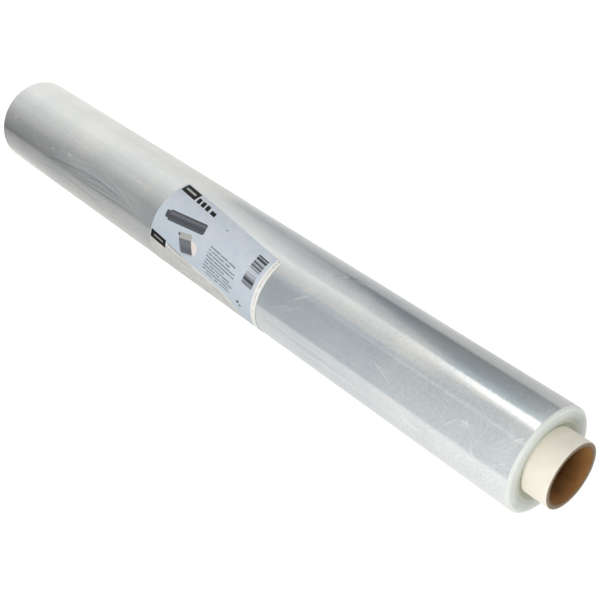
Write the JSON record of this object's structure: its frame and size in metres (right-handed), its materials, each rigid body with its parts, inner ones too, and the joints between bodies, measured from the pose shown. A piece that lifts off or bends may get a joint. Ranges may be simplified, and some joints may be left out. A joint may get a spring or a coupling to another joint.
{
  "type": "roll of cling film",
  "caption": "Long roll of clear cling film wound on a board core that stands out at each end, with a printed label at mid length.",
  "frame": {"origin": "centre of the lower core end, on the surface that the roll stands on", "axes": "+Z along the roll's axis, up; -Y towards the side from which the label is seen"},
  "size_m": [0.0761, 0.0759, 0.634],
  "materials": {
    "core": "cream paper outside, brown board in the bore, matt",
    "film": "clear film in many turns, silvery and glossy",
    "label": "pale blue and cream print under a gloss"
  },
  "bodies": {
    "root": {"core_tube": "core", "film_roll": "film", "label": "label"}
  },
  "joints": []
}
